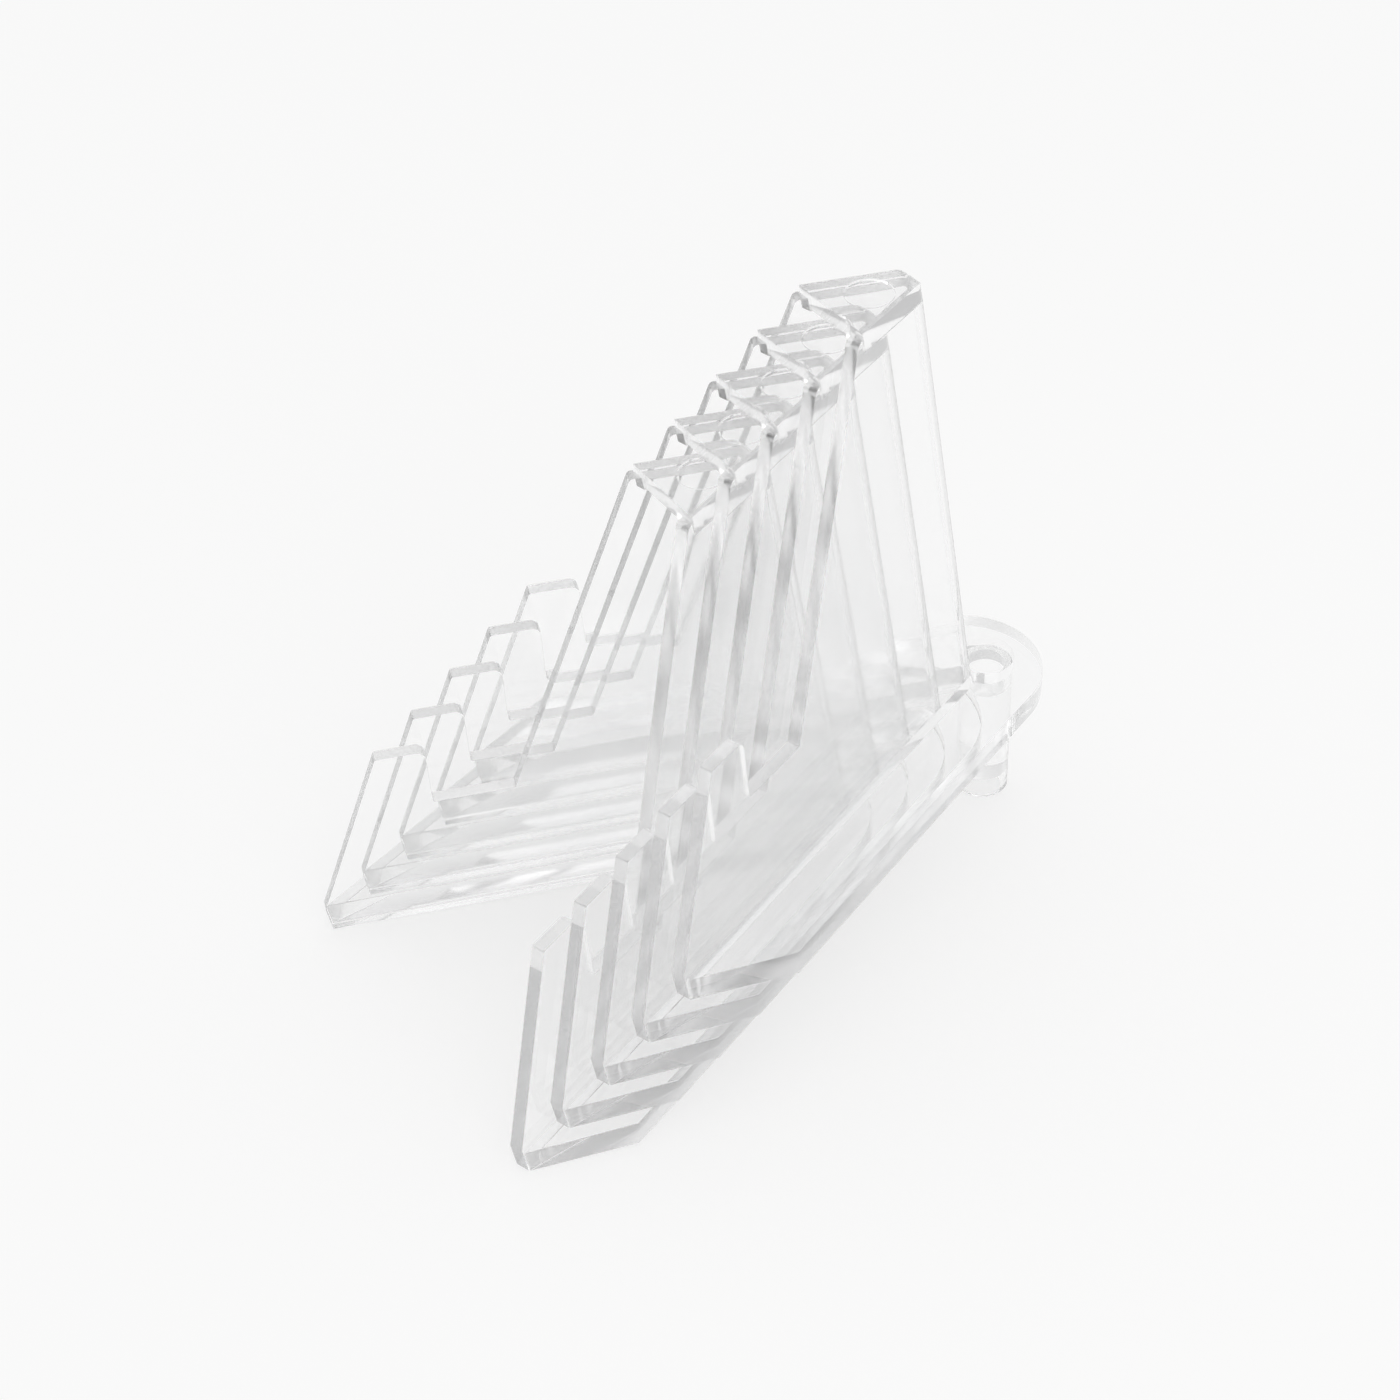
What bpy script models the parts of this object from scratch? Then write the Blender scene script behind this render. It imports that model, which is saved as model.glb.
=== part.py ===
"""Five clear display easels nested one behind another, resting on the lowest feet and one rear leg."""

import math

import bmesh
import bpy
from mathutils import Matrix, Vector

# Driving sizes, in metres. One easel is drawn with the inside corner of its V at the origin, open towards -Y.
TIERS = 5
STEP_BACK = 0.01009
STEP_UP = 0.0064
GAP = 0.0003

HALF_ANGLE = math.radians(21.2)
WALL = 0.0030
SPINE_INNER_RADIUS = 0.0008
SPINE_RADIUS = WALL + SPINE_INNER_RADIUS
LEAN = 0.141

ARM_LENGTH = 0.1113
WALL_TOP = 0.1162
FOOT_RISE = 0.0066
HOOK_FRONT = 0.0897
HOOK_BACK = 0.0790
HOOK_HEIGHT = 0.0500
HOOK_ROUND = 0.0019
HOOK_CORNER_ROUND = 0.0006
NOTCH_BACK = 0.0808
NOTCH_FRONT = 0.0629
NOTCH_FLOOR = 0.0346
NOTCH_ROUND = 0.0005
PANEL_TOP = 0.0224
LIP_DROP = 0.0015
LIP_ROUND = 0.0013

CAP_THICKNESS = 0.0043
CAP_FRONT = 0.0205
CAP_BACK_ROUND = 0.0026
CAP_RECESS_RADIUS = 0.0051
CAP_RECESS_DEPTH = 0.0005
CAP_RECESS_Y = -0.0098

BASE_THICKNESS = STEP_UP - GAP
BASE_WIDTH = 0.0146
BASE_RAKE = 0.0181

LEG_RADIUS = 0.0060
LEG_Y = 0.0063
LEG_TOP = 0.0040
LEG_BOTTOM = -0.0330
LEG_CORE_RADIUS = 0.0044
LEG_TOP_CORE = 0.0090
LEG_FOOT_CORE = 0.0050
LEG_EDGE = 0.0004
LEG_CLEARANCE = 0.0011
NESTED_TAIL_END = STEP_BACK + LEG_Y - LEG_RADIUS - LEG_CLEARANCE

ARC_STEPS = 12
ROUND_STEPS = 5
SMALL_ROUND_STEPS = 3
CIRCLE_STEPS = 64
CUT_PAST = 0.0010

SIN_A = math.sin(HALF_ANGLE)
COS_A = math.cos(HALF_ANGLE)
SPINE_Y = (WALL - SPINE_RADIUS) / SIN_A
SPINE_REACH = SPINE_Y + SPINE_RADIUS
SEAT = WALL_TOP - CAP_THICKNESS - GAP


def clear_scene():
    """Start from nothing."""
    for obj in list(bpy.data.objects):
        bpy.data.objects.remove(obj, do_unlink=True)


def clear_plastic(name):
    """A piece's own material: clear, colourless, polished plastic."""
    material = bpy.data.materials.new(name + "_plastic")
    material.use_nodes = True
    shader = material.node_tree.nodes["Principled BSDF"]
    shader.inputs["Base Color"].default_value = (0.93, 0.95, 0.95, 1.0)
    shader.inputs["Roughness"].default_value = 0.04
    shader.inputs["IOR"].default_value = 1.5
    shader.inputs["Transmission Weight"].default_value = 0.9
    return material


def lean_back(y, z):
    """The walls and the cap lean towards the front as they rise."""
    return y - LEAN * z


def on_arm(side, along, out):
    """Plan point at a distance along an arm from the corner of the V, and out from the arm's inner face."""
    x = side * (SIN_A * along + COS_A * out)
    y = SIN_A * out - COS_A * along
    return x, y


def on_spine(angle, out):
    """Plan point round the back of the V. The angle is measured from +Y towards +X."""
    radius = SPINE_RADIUS - WALL + out
    return radius * math.sin(angle), SPINE_Y + radius * math.cos(angle)


def rounded(before, corner, after, radius, steps):
    """Points of an arc that rounds a corner of a flat outline."""
    here = Vector(corner)
    to_before = (Vector(before) - here).normalized()
    to_after = (Vector(after) - here).normalized()
    half = to_before.angle(to_after) / 2
    reach = radius / math.tan(half)
    centre = here + (to_before + to_after).normalized() * (radius / math.sin(half))
    start = here + to_before * reach - centre
    end = here + to_after * reach - centre
    turn = start.angle_signed(end)
    points = []
    for i in range(steps + 1):
        spun = start.copy()
        spun.rotate(Matrix.Rotation(-turn * i / steps, 2))
        points.append(tuple(centre + spun))
    return points


def cap_top_at(y):
    """Height of the cap's top: level, then rounded down at the back."""
    inside = SPINE_REACH - y
    if inside >= CAP_BACK_ROUND:
        return WALL_TOP
    across = CAP_BACK_ROUND - max(inside, 0.0)
    return WALL_TOP - CAP_BACK_ROUND + math.sqrt(max(CAP_BACK_ROUND**2 - across**2, 0.0))


def panel_edge(height):
    """Point on the tall panel's sloping front edge at a height."""
    rise = (height - NOTCH_FLOOR) / (WALL_TOP - NOTCH_FLOOR)
    return NOTCH_FRONT + (PANEL_TOP - NOTCH_FRONT) * rise, height


def arm_outline():
    """Outline of one arm, as (distance along the arm, height), from its foot round to the lip in front of the cap."""
    foot = (ARM_LENGTH, 0.0)
    kink = (ARM_LENGTH, FOOT_RISE)
    hook_front = (HOOK_FRONT, HOOK_HEIGHT)
    hook_back = (HOOK_BACK, HOOK_HEIGHT)
    notch_back = (NOTCH_BACK, NOTCH_FLOOR)
    notch_front = (NOTCH_FRONT, NOTCH_FLOOR)
    lip = panel_edge(WALL_TOP - LIP_DROP)
    behind = (CAP_FRONT, WALL_TOP - LIP_DROP)
    points = [foot, kink]
    points += rounded(kink, hook_front, hook_back, HOOK_CORNER_ROUND, SMALL_ROUND_STEPS)
    points += rounded(hook_front, hook_back, notch_back, HOOK_ROUND, ROUND_STEPS)
    points += rounded(hook_back, notch_back, notch_front, NOTCH_ROUND, SMALL_ROUND_STEPS)
    points += rounded(notch_back, notch_front, lip, NOTCH_ROUND, SMALL_ROUND_STEPS)
    points += rounded(notch_front, lip, behind, LIP_ROUND, ROUND_STEPS)
    return points


def new_object(name, mesh_data):
    """Close a bmesh up as an object with its faces turned outwards and its own material."""
    bmesh.ops.recalc_face_normals(mesh_data, faces=mesh_data.faces)
    bmesh.ops.triangulate(mesh_data, faces=mesh_data.faces)
    mesh = bpy.data.meshes.new(name)
    mesh_data.to_mesh(mesh)
    mesh_data.free()
    mesh.materials.append(clear_plastic(name))
    for polygon in mesh.polygons:
        polygon.use_smooth = True
    mesh.set_sharp_from_angle(angle=math.radians(30))
    obj = bpy.data.objects.new(name, mesh)
    bpy.context.scene.collection.objects.link(obj)
    return obj


def make_wall(name):
    """The V-shaped wall: two flat arms with hooks, folded round a rounded spine."""
    shape = bmesh.new()

    def station(side, along, height):
        pair = []
        for out in (0.0, WALL):
            x, y = on_arm(side, along, out)
            pair.append(shape.verts.new((x, lean_back(y, height), height)))
        return pair

    def step(side, height):
        """A pair of points level with the cap's front, square to the easel."""
        pair = []
        for out in (0.0, WALL):
            x, y = on_arm(side, CAP_FRONT + out * math.tan(HALF_ANGLE), out)
            pair.append(shape.verts.new((x, lean_back(y, height) - GAP, height)))
        return pair

    def fold(angle, height):
        pair = []
        for out in (0.0, WALL):
            x, y = on_spine(angle, out)
            pair.append(shape.verts.new((x, lean_back(y, height), height)))
        return pair

    widest = math.pi / 2 - HALF_ANGLE
    angles = [widest - 2 * widest * i / ARC_STEPS for i in range(ARC_STEPS + 1)]
    low = [fold(angle, 0.0) for angle in angles]
    high = [fold(angle, SEAT) for angle in angles]
    outline = arm_outline()
    loops = []
    for side, fold_low, fold_high in ((1, low[0], high[0]), (-1, low[-1], high[-1])):
        front = [station(side, along, height) for along, height in outline]
        seat = [step(side, WALL_TOP - LIP_DROP), step(side, SEAT)]
        loops.append([fold_low] + front + seat + [fold_high])
    near_loop, far_loop = loops
    for loop in (near_loop, far_loop):
        shape.faces.new([pair[0] for pair in loop])
        shape.faces.new([pair[1] for pair in loop])
    for i in range(ARC_STEPS):
        for skin in (0, 1):
            shape.faces.new((low[i][skin], low[i + 1][skin], high[i + 1][skin], high[i][skin]))
    rim = near_loop + high[1:-1] + far_loop[::-1] + low[1:-1][::-1]
    for first, second in zip(rim, rim[1:] + rim[:1]):
        shape.faces.new((first[0], second[0], second[1], first[1]))
    return new_object(name, shape)


def tail_circle(nested):
    """Centre and radius of the arc that rounds the base's tail off, tangent to its two long edges."""
    edge = WALL + BASE_WIDTH
    if not nested:
        return 0.0, edge
    centre = (NESTED_TAIL_END - edge) / (1 - SIN_A)
    return centre, edge - SIN_A * centre


def make_base(name, nested):
    """The flat base that runs round the outside of the wall, its ends cut back from the feet."""
    tail_y, tail_radius = tail_circle(nested)
    widest = math.pi / 2 - HALF_ANGLE
    outer = [on_arm(1, ARM_LENGTH - BASE_RAKE, WALL + BASE_WIDTH)]
    for i in range(2 * ARC_STEPS + 1):
        angle = widest - widest * i / ARC_STEPS
        outer.append((tail_radius * math.sin(angle), tail_y + tail_radius * math.cos(angle)))
    outer.append(on_arm(-1, ARM_LENGTH - BASE_RAKE, WALL + BASE_WIDTH))
    inner = [on_arm(-1, ARM_LENGTH, WALL + GAP)]
    for i in range(ARC_STEPS + 1):
        angle = -widest + 2 * widest * i / ARC_STEPS
        inner.append(on_spine(angle, WALL + GAP))
    inner.append(on_arm(1, ARM_LENGTH, WALL + GAP))
    shape = bmesh.new()
    low = [shape.verts.new((x, y, 0.0)) for x, y in outer + inner]
    high = [shape.verts.new((x, y, BASE_THICKNESS)) for x, y in outer]
    high += [shape.verts.new((x, lean_back(y, BASE_THICKNESS), BASE_THICKNESS)) for x, y in inner]
    shape.faces.new(low)
    shape.faces.new(high)
    for i in range(len(low)):
        j = (i + 1) % len(low)
        shape.faces.new((low[i], low[j], high[j], high[i]))
    return new_object(name, shape)


def make_cap(name):
    """The level plate that closes the top of the V, lying on its walls and rounded down at the back."""
    widest = math.pi / 2 - HALF_ANGLE
    plan = [on_arm(1, CAP_FRONT + WALL * math.tan(HALF_ANGLE), WALL)]
    for i in range(ARC_STEPS):
        plan.append(on_spine(widest - widest * i / ARC_STEPS, WALL))
    underside = WALL_TOP - CAP_THICKNESS
    shape = bmesh.new()
    sections = []
    for x, y in plan:
        top = cap_top_at(y)
        corners = ((-x, underside), (x, underside), (x, top), (-x, top))
        sections.append([shape.verts.new((side, lean_back(y, z), z)) for side, z in corners])
    shape.faces.new(sections[0])
    for ahead, behind in zip(sections, sections[1:]):
        for i in range(4):
            j = (i + 1) % 4
            shape.faces.new((ahead[i], ahead[j], behind[j], behind[i]))
    back = SPINE_REACH
    heel = [shape.verts.new((0.0, lean_back(back, z), z)) for z in (underside, cap_top_at(back))]
    low_left, low_right, top_right, top_left = sections[-1]
    shape.faces.new((low_left, low_right, heel[0]))
    shape.faces.new((top_right, top_left, heel[1]))
    shape.faces.new((low_right, top_right, heel[1], heel[0]))
    shape.faces.new((top_left, low_left, heel[0], heel[1]))
    return new_object(name, shape)


def make_lathe(name, profile, centre):
    """A round piece turned about a vertical axis. A profile point at radius 0 closes the end."""
    shape = bmesh.new()
    rings = []
    for radius, z in profile:
        if radius == 0.0:
            rings.append([shape.verts.new((centre[0], centre[1], z))])
            continue
        ring = []
        for i in range(CIRCLE_STEPS):
            angle = 2 * math.pi * i / CIRCLE_STEPS
            x = centre[0] + radius * math.cos(angle)
            y = centre[1] + radius * math.sin(angle)
            ring.append(shape.verts.new((x, y, z)))
        rings.append(ring)
    for below, above in zip(rings, rings[1:]):
        for i in range(CIRCLE_STEPS):
            j = (i + 1) % CIRCLE_STEPS
            if len(below) == 1:
                shape.faces.new((below[0], above[j], above[i]))
            elif len(above) == 1:
                shape.faces.new((below[i], below[j], above[0]))
            else:
                shape.faces.new((below[i], below[j], above[j], above[i]))
    return new_object(name, shape)


def make_leg(name):
    """The rear leg: a round bar with a blind core in each end, standing in the tail's bore."""
    core_top = LEG_TOP - LEG_TOP_CORE
    core_foot = LEG_BOTTOM + LEG_FOOT_CORE
    profile = [
        (0.0, core_foot),
        (LEG_CORE_RADIUS, core_foot),
        (LEG_CORE_RADIUS, LEG_BOTTOM),
        (LEG_RADIUS - LEG_EDGE, LEG_BOTTOM),
        (LEG_RADIUS, LEG_BOTTOM + LEG_EDGE),
        (LEG_RADIUS, LEG_TOP),
        (LEG_CORE_RADIUS, LEG_TOP),
        (LEG_CORE_RADIUS, core_top),
        (0.0, core_top),
    ]
    return make_lathe(name, profile, (0.0, LEG_Y))


def make_cutter(name, radius, low, high, y):
    """A plain cylinder used only to cut another piece."""
    profile = [(0.0, low), (radius, low), (radius, high), (0.0, high)]
    cutter = make_lathe(name, profile, (0.0, y))
    cutter.hide_render = True
    cutter.display_type = "WIRE"
    return cutter


def cut(target, cutter):
    """Subtract a cutter from a piece."""
    modifier = target.modifiers.new("cut_" + cutter.name, "BOOLEAN")
    modifier.operation = "DIFFERENCE"
    modifier.solver = "EXACT"
    modifier.object = cutter


def stack_tilt():
    """Angle that the nested easels sit at, tail up, with the lowest feet and the leg's foot on the floor."""
    rise = STEP_UP * (TIERS - 1) + LEG_BOTTOM
    run = LEG_Y - LEG_RADIUS + STEP_BACK * (TIERS - 1) + COS_A * ARM_LENGTH
    return math.atan2(-rise, run)


def new_empty(name, parent):
    """A named point that pieces are hung on."""
    empty = bpy.data.objects.new(name, None)
    bpy.context.scene.collection.objects.link(empty)
    empty.parent = parent
    return empty


def make_nest():
    """The point on the floor, under the lowest feet, that the whole nest tilts about."""
    nest = new_empty("nest", None)
    nest.rotation_euler = (stack_tilt(), 0.0, 0.0)
    return nest


def make_tier(nest, tier):
    """The corner of one easel's V, one step back and one step up for each easel below it."""
    corner = new_empty("tier_{}".format(tier + 1), nest)
    corner.location = (0.0, COS_A * ARM_LENGTH + STEP_BACK * tier, STEP_UP * tier)
    return corner


def centre_on_floor(nest):
    """Move the nest so that the middle of its outline, seen from above, is over the origin."""
    bpy.context.view_layer.update()
    pieces = [obj for obj in bpy.data.objects if obj.type == "MESH" and not obj.hide_render]
    points = [obj.matrix_world @ vert.co for obj in pieces for vert in obj.data.vertices]
    low = [min(point[i] for point in points) for i in range(3)]
    high = [max(point[i] for point in points) for i in range(3)]
    nest.location = (0.0, -(low[1] + high[1]) / 2, -low[2])
    bpy.context.view_layer.update()


def cut_recess(cap, label):
    """Cut the shallow round recess in a cap's top."""
    recess_y = lean_back(CAP_RECESS_Y, WALL_TOP)
    low = WALL_TOP - CAP_RECESS_DEPTH
    high = WALL_TOP + CUT_PAST
    recess = make_cutter(label + "_recess", CAP_RECESS_RADIUS, low, high, recess_y)
    cut(cap, recess)
    return recess


def cut_bore(base, wall):
    """Cut the leg's bore through a base's tail, and out of the foot of the wall's spine beside it."""
    bore = make_cutter("tail_bore", LEG_RADIUS + GAP, -CUT_PAST, BASE_THICKNESS + GAP, LEG_Y)
    cut(base, bore)
    cut(wall, bore)
    return bore


def main():
    clear_scene()
    nest = make_nest()
    for tier in range(TIERS):
        label = "tier_{}".format(tier + 1)
        last = tier == TIERS - 1
        wall = make_wall(label + "_wall")
        base = make_base(label + "_base", not last)
        cap = make_cap(label + "_cap")
        pieces = [wall, base, cap, cut_recess(cap, label)]
        if last:
            pieces += [make_leg("rear_leg"), cut_bore(base, wall)]
        corner = make_tier(nest, tier)
        for piece in pieces:
            piece.parent = corner
    centre_on_floor(nest)


main()
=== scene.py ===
"""Looks for five clear display easels nested one behind another, on a pale floor in soft light."""

from __future__ import annotations

import logging
import math
from dataclasses import dataclass, field
from enum import Enum
from typing import Union

import bpy
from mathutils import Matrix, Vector


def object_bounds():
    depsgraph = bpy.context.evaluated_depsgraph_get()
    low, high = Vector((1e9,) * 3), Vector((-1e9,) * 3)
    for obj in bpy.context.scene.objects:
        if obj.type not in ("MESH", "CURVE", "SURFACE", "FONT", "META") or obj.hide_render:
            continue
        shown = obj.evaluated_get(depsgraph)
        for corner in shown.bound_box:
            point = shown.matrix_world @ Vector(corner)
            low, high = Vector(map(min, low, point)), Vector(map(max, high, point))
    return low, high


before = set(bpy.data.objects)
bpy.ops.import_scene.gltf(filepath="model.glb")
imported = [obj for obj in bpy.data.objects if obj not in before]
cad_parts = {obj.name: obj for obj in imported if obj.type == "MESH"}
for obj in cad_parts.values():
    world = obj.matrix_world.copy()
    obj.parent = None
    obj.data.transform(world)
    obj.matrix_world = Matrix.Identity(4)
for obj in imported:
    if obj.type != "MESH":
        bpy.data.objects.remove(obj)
CAD_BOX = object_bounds()
Colour = tuple[float, float, float]
TIERS = 5
LIGHT_BOUNCES = 48

log = logging.getLogger("easels")


class Side(Enum):
    """On which side of a Math node's operator the other value stands."""

    LEFT = 0
    RIGHT = 1


class Socket:
    """An output of a shader node that takes part in Python expressions."""

    def __init__(self, graph: ShaderGraph, output: bpy.types.NodeSocket) -> None:
        """Keep the graph that new nodes go to, and the output itself.

        Args:
            graph: The graph that the output's node belongs to.
            output: The node output to wrap.
        """
        self.graph = graph
        self.output = output

    def _math(self, operation: str, other: Number, side: Side = Side.RIGHT) -> Socket:
        """Add a Math node on this output and another value.

        Args:
            operation: The Math node's operation.
            other: The other value, a number or a socket.
            side: Whether the other value is the right-hand or the left-hand one.

        Returns:
            The Math node's result.
        """
        pair = [self, other] if side is Side.RIGHT else [other, self]
        return self.graph.node("ShaderNodeMath", {"operation": operation}, {0: pair[0], 1: pair[1]})

    def __add__(self, other: Number) -> Socket:
        """Sum."""
        return self._math("ADD", other)

    def __radd__(self, other: Number) -> Socket:
        """Sum, with the number first."""
        return self._math("ADD", other, Side.LEFT)

    def __sub__(self, other: Number) -> Socket:
        """Difference."""
        return self._math("SUBTRACT", other)

    def __rsub__(self, other: Number) -> Socket:
        """Difference, with the number first."""
        return self._math("SUBTRACT", other, Side.LEFT)

    def __mul__(self, other: Number) -> Socket:
        """Product."""
        return self._math("MULTIPLY", other)

    def __rmul__(self, other: Number) -> Socket:
        """Product, with the number first."""
        return self._math("MULTIPLY", other, Side.LEFT)

    def clamped(self) -> Socket:
        """The value held between 0 and 1."""
        return self.graph.node("ShaderNodeClamp", {}, {"Value": self})


Number = Union[Socket, float]


class ShaderGraph:
    """The node tree of a material or of the world, emptied and ready to be filled."""

    def __init__(self, owner: Union[bpy.types.Material, bpy.types.World]) -> None:
        """Empty the owner's node tree.

        Args:
            owner: The material or world whose nodes are made here.
        """
        owner.use_nodes = True
        self.tree = owner.node_tree
        self.tree.nodes.clear()

    def node(self, kind: str, settings: dict, inputs: dict, output: Union[int, str] = 0) -> Socket:
        """Add one node, with its settings made first and its sockets filled next.

        Args:
            kind: The node's type.
            settings: Values of the node's own properties. A list under "stops" fills a colour ramp.
            inputs: Values or links, by socket name or number.
            output: Which output is returned.

        Returns:
            The chosen output.
        """
        made = self.tree.nodes.new(kind)
        for name, value in settings.items():
            if name == "stops":
                self._fill_ramp(made, value)
            else:
                setattr(made, name, value)
        for name, value in inputs.items():
            if isinstance(value, Socket):
                self.tree.links.new(value.output, made.inputs[name])
            else:
                made.inputs[name].default_value = value
        return Socket(self, made.outputs[output] if made.outputs else None)

    @staticmethod
    def _fill_ramp(made: bpy.types.Node, stops: list[tuple[float, tuple]]) -> None:
        """Set a colour ramp's stops.

        Args:
            made: The Color Ramp node.
            stops: Places from 0 to 1, each with its colour.
        """
        elements = made.color_ramp.elements
        while len(elements) < len(stops):
            elements.new(1.0)
        for element, (place, colour) in zip(elements, stops):
            element.position = place
            element.color = colour

    def noise(self, where: Socket, scale: float, detail: float = 2.0) -> Socket:
        """Smooth noise from 0 to 1.

        Args:
            where: The coordinates.
            scale: How many features fit in a metre.
            detail: How many finer octaves are added.

        Returns:
            The noise value.
        """
        return self.node("ShaderNodeTexNoise", {}, {"Vector": where, "Scale": scale, "Detail": detail})

    def mix(self, factor: Number, first: tuple, second: tuple) -> Socket:
        """Blend two colours.

        Args:
            factor: 0 for the first colour and 1 for the second.
            first: The first colour, RGBA.
            second: The second colour, RGBA.

        Returns:
            The blended colour.
        """
        # The node repeats its sockets for each data type. These are the colour ones.
        inputs = {0: factor, 6: first, 7: second}
        return self.node("ShaderNodeMix", {"data_type": "RGBA"}, inputs, 2)


@dataclass(frozen=True)
class ClearPlastic:
    """Moulded clear plastic: a soft polish, faint flow waves, handling smudges and a slight haze."""

    name: str
    clearest: Colour = (1.0, 1.0, 1.0)
    cloudiest: Colour = (0.994, 0.995, 0.996)
    ior: float = 1.49
    polish: float = 0.07
    smudge: float = 0.03
    smudge_scale: float = 60.0
    smudge_start: float = 0.45
    smudge_contrast: float = 4.0
    smudge_share: float = 0.6
    flow_scale: float = 22.0
    flow_stretch: tuple[float, float, float] = (1.0, 1.0, 0.35)
    flow_height: float = 0.000004
    pit_scale: float = 900.0
    pit_height: float = 0.0000008
    smudge_detail: float = 5.0
    flow_detail: float = 1.0

    def build(self) -> bpy.types.Material:
        """Make the material.

        Returns:
            The finished material.
        """
        material = bpy.data.materials.new(self.name)
        graph = ShaderGraph(material)
        place = graph.node("ShaderNodeTexCoord", {}, {}, "Object")
        stretched = graph.node(
            "ShaderNodeMapping", {}, {"Vector": place, "Scale": self.flow_stretch}
        )
        smudges = graph.noise(place, self.smudge_scale, self.smudge_detail)
        flow = graph.noise(stretched, self.flow_scale, self.flow_detail)
        pits = graph.noise(place, self.pit_scale)
        patchy = ((smudges - self.smudge_start) * self.smudge_contrast).clamped()
        haze = patchy * self.smudge_share + flow * (1.0 - self.smudge_share)
        colour = graph.mix(haze, (*self.clearest, 1.0), (*self.cloudiest, 1.0))
        roughness = patchy * patchy * self.smudge + self.polish
        waves = graph.node("ShaderNodeBump", {}, {"Height": flow, "Distance": self.flow_height})
        skin = graph.node(
            "ShaderNodeBump", {}, {"Height": pits, "Distance": self.pit_height, "Normal": waves}
        )
        shader = graph.node(
            "ShaderNodeBsdfPrincipled",
            {},
            {
                "Base Color": colour,
                "Roughness": roughness,
                "Normal": skin,
                "IOR": self.ior,
                "Transmission Weight": 1.0,
            },
        )
        graph.node("ShaderNodeOutputMaterial", {}, {"Surface": shader})
        return material


@dataclass(frozen=True)
class PalePaper:
    """The plain pale floor: matt, lit mostly from below, with a very faint unevenness."""

    name: str
    light: Colour = (0.90, 0.90, 0.898)
    dark: Colour = (0.885, 0.885, 0.884)
    patch_scale: float = 2.0
    matt: float = 0.225
    glow: float = 0.84
    roughness: float = 0.9

    def build(self) -> bpy.types.Material:
        """Make the material.

        Returns:
            The finished material.
        """
        material = bpy.data.materials.new(self.name)
        graph = ShaderGraph(material)
        place = graph.node("ShaderNodeTexCoord", {}, {}, "Object")
        patches = graph.noise(place, self.patch_scale)
        colour = graph.mix(patches, (*self.light, 1.0), (*self.dark, 1.0))
        shader = graph.node(
            "ShaderNodeBsdfPrincipled",
            {},
            {
                "Base Color": (self.matt, self.matt, self.matt, 1.0),
                "Roughness": self.roughness,
                "Specular IOR Level": 0.0,
                "Emission Color": colour,
                "Emission Strength": self.glow,
            },
        )
        graph.node("ShaderNodeOutputMaterial", {}, {"Surface": shader})
        return material


@dataclass
class Viewpoint:
    """The camera: in front of the nest, to its right and above it."""

    look_at: Vector = field(default_factory=lambda: Vector((0.01234, -0.01655, 0.07464)))
    azimuth: float = math.radians(56.65)
    elevation: float = math.radians(40.28)
    distance: float = 0.55
    lens: float = 70.04
    sensor: float = 36.0
    nearest: float = 0.01

    def build(self) -> bpy.types.Object:
        """Make the camera and choose it for the scene.

        Returns:
            The camera object.
        """
        data = bpy.data.cameras.new("camera")
        data.lens = self.lens
        data.sensor_width = self.sensor
        data.clip_start = self.nearest
        camera = bpy.data.objects.new("camera", data)
        bpy.context.scene.collection.objects.link(camera)
        level = math.cos(self.elevation)
        towards = Vector(
            (
                math.sin(self.azimuth) * level,
                -math.cos(self.azimuth) * level,
                math.sin(self.elevation),
            )
        )
        camera.location = self.look_at + towards * self.distance
        camera.rotation_euler = towards.to_track_quat("Z", "Y").to_euler()
        bpy.context.scene.camera = camera
        return camera


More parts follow.
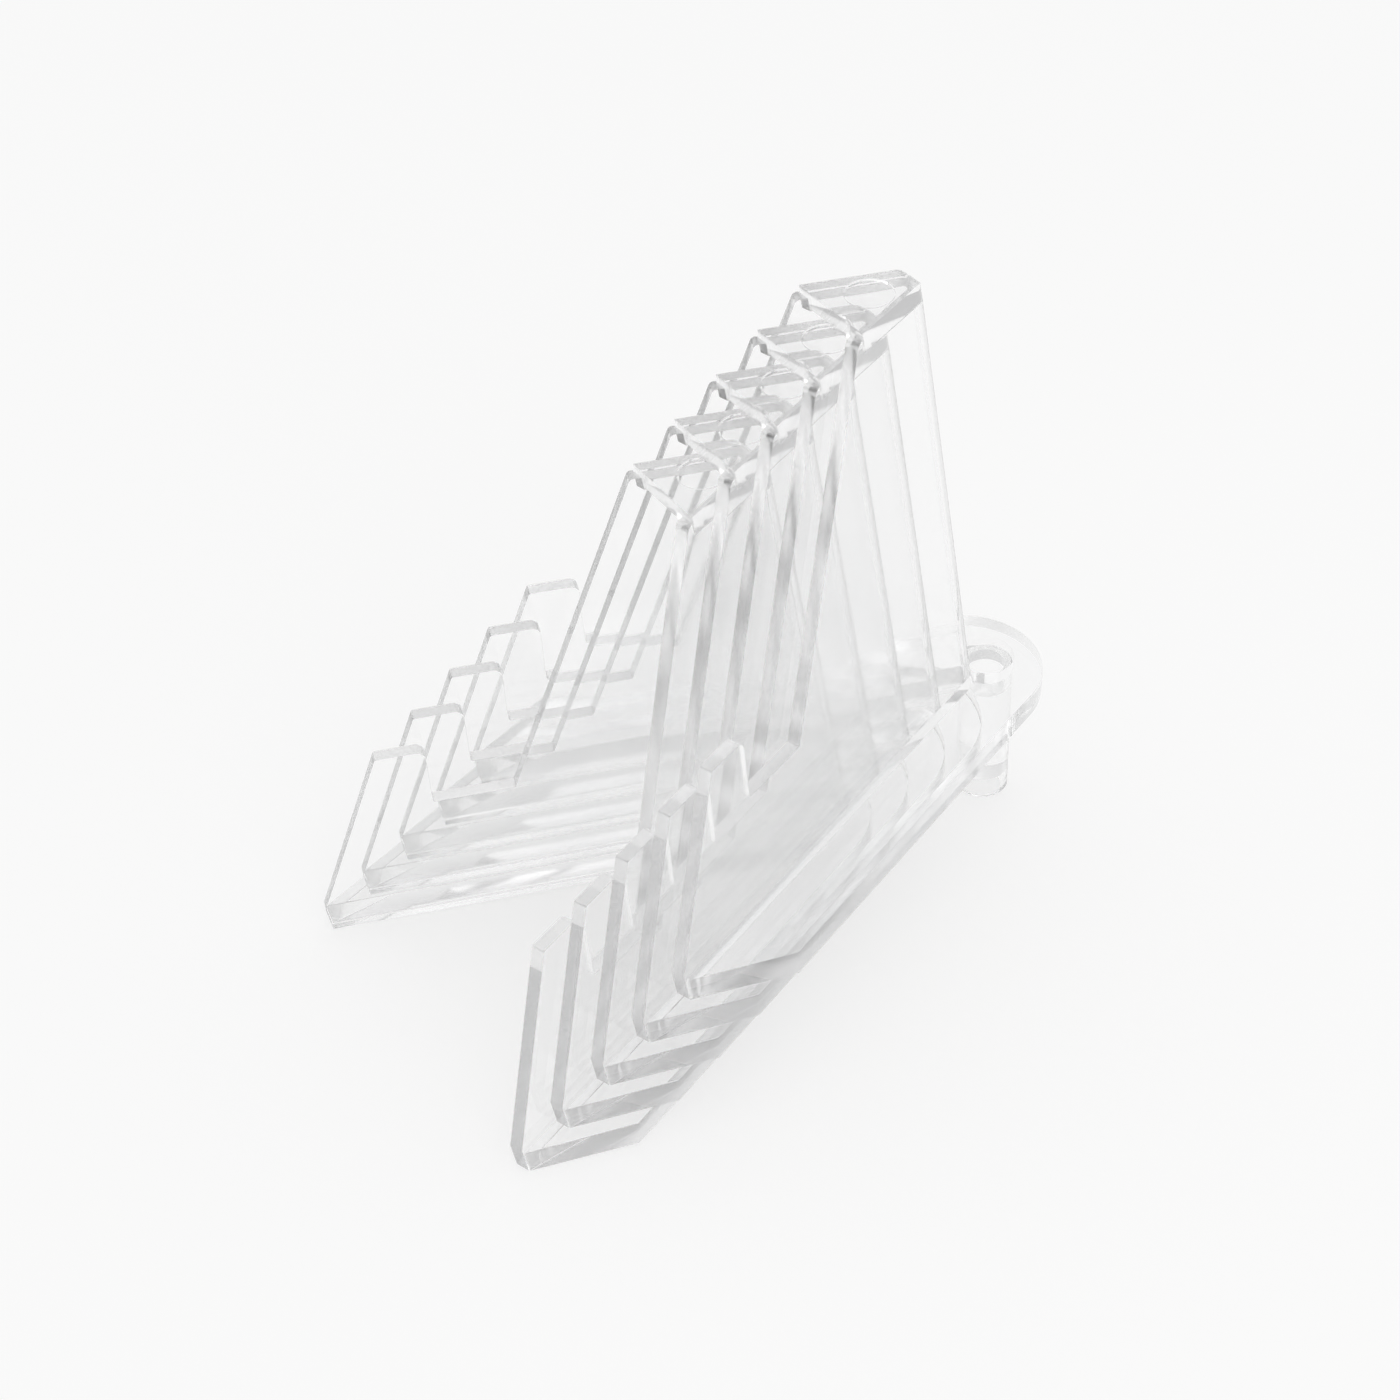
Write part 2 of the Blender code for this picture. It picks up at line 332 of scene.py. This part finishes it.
@dataclass
class Studio:
    """A pale floor under a soft tent of light, grey all round and white overhead."""

    floor_size: float = 12.0
    overhead: Colour = (1.0, 1.0, 1.0)
    walls: Colour = (0.46, 0.46, 0.462)
    wall_top: float = 0.80
    ceiling_edge: float = 0.92
    brightness: float = 1.15
    key_place: tuple[float, float, float] = (0.9, -0.2, 0.7)
    key_watts: float = 2.0
    key_size: float = 0.8

    def build(self) -> None:
        """Make the floor, the surrounding light and the large soft lamp."""
        self._floor()
        self._surround()
        self._lamp("key_light", Vector(self.key_place), self.key_watts, self.key_size)

    def _floor(self) -> None:
        """Make the floor as one square under the object."""
        half = self.floor_size / 2
        corners = [(-half, -half, 0.0), (half, -half, 0.0), (half, half, 0.0), (-half, half, 0.0)]
        mesh = bpy.data.meshes.new("floor")
        mesh.from_pydata(corners, [], [(0, 1, 2, 3)])
        mesh.materials.append(PalePaper("pale_paper").build())
        floor = bpy.data.objects.new("floor", mesh)
        bpy.context.scene.collection.objects.link(floor)
        floor.location.z = CAD_BOX[0][2]

    def _surround(self) -> None:
        """Light the scene from all round, brightest overhead."""
        world = bpy.data.worlds.new("tent")
        bpy.context.scene.world = world
        graph = ShaderGraph(world)
        place = graph.node("ShaderNodeTexCoord", {}, {}, "Generated")
        height = graph.node("ShaderNodeSeparateXYZ", {}, {"Vector": place}, "Z")
        stops = [
            (self.wall_top, (*self.walls, 1.0)),
            (self.ceiling_edge, (*self.overhead, 1.0)),
        ]
        colour = graph.node("ShaderNodeValToRGB", {"stops": stops}, {"Fac": height * 0.5 + 0.5})
        light = graph.node(
            "ShaderNodeBackground", {}, {"Color": colour, "Strength": self.brightness}
        )
        graph.node("ShaderNodeOutputWorld", {}, {"Surface": light})

    @staticmethod
    def _lamp(name: str, place: Vector, watts: float, size: float) -> None:
        """Hang one large soft lamp that points at the nest.

        Args:
            name: The lamp's name.
            place: Where it hangs.
            watts: Its power.
            size: The side of its square.
        """
        data = bpy.data.lights.new(name, "AREA")
        data.energy = watts
        data.size = size
        lamp = bpy.data.objects.new(name, data)
        bpy.context.scene.collection.objects.link(lamp)
        lamp.location = place
        lamp.rotation_euler = place.to_track_quat("Z", "Y").to_euler()


@dataclass(frozen=True)
class PolishedEdges:
    """The slightly rounded edges that moulded plastic has."""

    join_reach: float = 0.000001
    radius: float = 0.00022
    rounding_steps: int = 2
    sharp_from: float = math.radians(40)

    def add(self, piece: bpy.types.Object) -> None:
        """Round a piece's sharp edges a little and keep its flat faces flat.

        The faces arrive as loose triangles, so their corners are joined first: without
        that, no edge has two faces and nothing is rounded.

        Args:
            piece: The piece whose edges are rounded.
        """
        weld = piece.modifiers.new("joined_faces", "WELD")
        weld.merge_threshold = self.join_reach
        bevel = piece.modifiers.new("polished_edges", "BEVEL")
        bevel.width = self.radius
        bevel.segments = self.rounding_steps
        bevel.limit_method = "ANGLE"
        bevel.angle_limit = self.sharp_from
        for polygon in piece.data.polygons:
            polygon.use_smooth = True
        normals = piece.modifiers.new("flat_faces", "WEIGHTED_NORMAL")
        normals.keep_sharp = False


@dataclass
class Easel:
    """One easel of the nest, with its wall, its base and its cap."""

    tier: int
    edges: PolishedEdges = PolishedEdges()

    def dress(self) -> list[bpy.types.Object]:
        """Give each piece its polished edges and its own finish.

        Returns:
            The easel's pieces.
        """
        pieces = []
        for part in ("wall", "base", "cap"):
            name = f"tier_{self.tier}_{part}"
            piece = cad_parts[name]
            self.edges.add(piece)
            paint(piece, ClearPlastic(f"clear_{name}").build())
            pieces.append(piece)
        return pieces


@dataclass
class RearLeg:
    """The round bar that stands under the last easel's tail."""

    edges: PolishedEdges = PolishedEdges()

    def dress(self) -> list[bpy.types.Object]:
        """Give the leg its polished edges and its finish.

        Returns:
            The leg, as a list of one piece.
        """
        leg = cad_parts["rear_leg"]
        self.edges.add(leg)
        paint(leg, ClearPlastic("clear_leg").build())
        return [leg]


def paint(piece: bpy.types.Object, material: bpy.types.Material) -> None:
    """Give a piece one material in place of what it had.

    Args:
        piece: The piece to paint.
        material: Its new material.
    """
    piece.data.materials.clear()
    piece.data.materials.append(material)


def set_light_paths(bounces: int) -> None:
    """Let light cross the whole nest, and show tones as they are.

    Args:
        bounces: How many surfaces one path of light may meet.
    """
    scene = bpy.context.scene
    scene.view_settings.view_transform = "Standard"
    scene.cycles.max_bounces = bounces
    scene.cycles.glossy_bounces = bounces
    scene.cycles.transmission_bounces = bounces


def main() -> None:
    """Build the view, the studio and the pieces."""
    logging.basicConfig(level=logging.INFO, format="%(name)s: %(message)s")
    Viewpoint().build()
    Studio().build()
    for assembly in (*(Easel(tier) for tier in range(1, TIERS + 1)), RearLeg()):
        for piece in assembly.dress():
            log.info("dressed %s", piece.name)
    set_light_paths(LIGHT_BOUNCES)


if __name__ == "__main__":
    main()
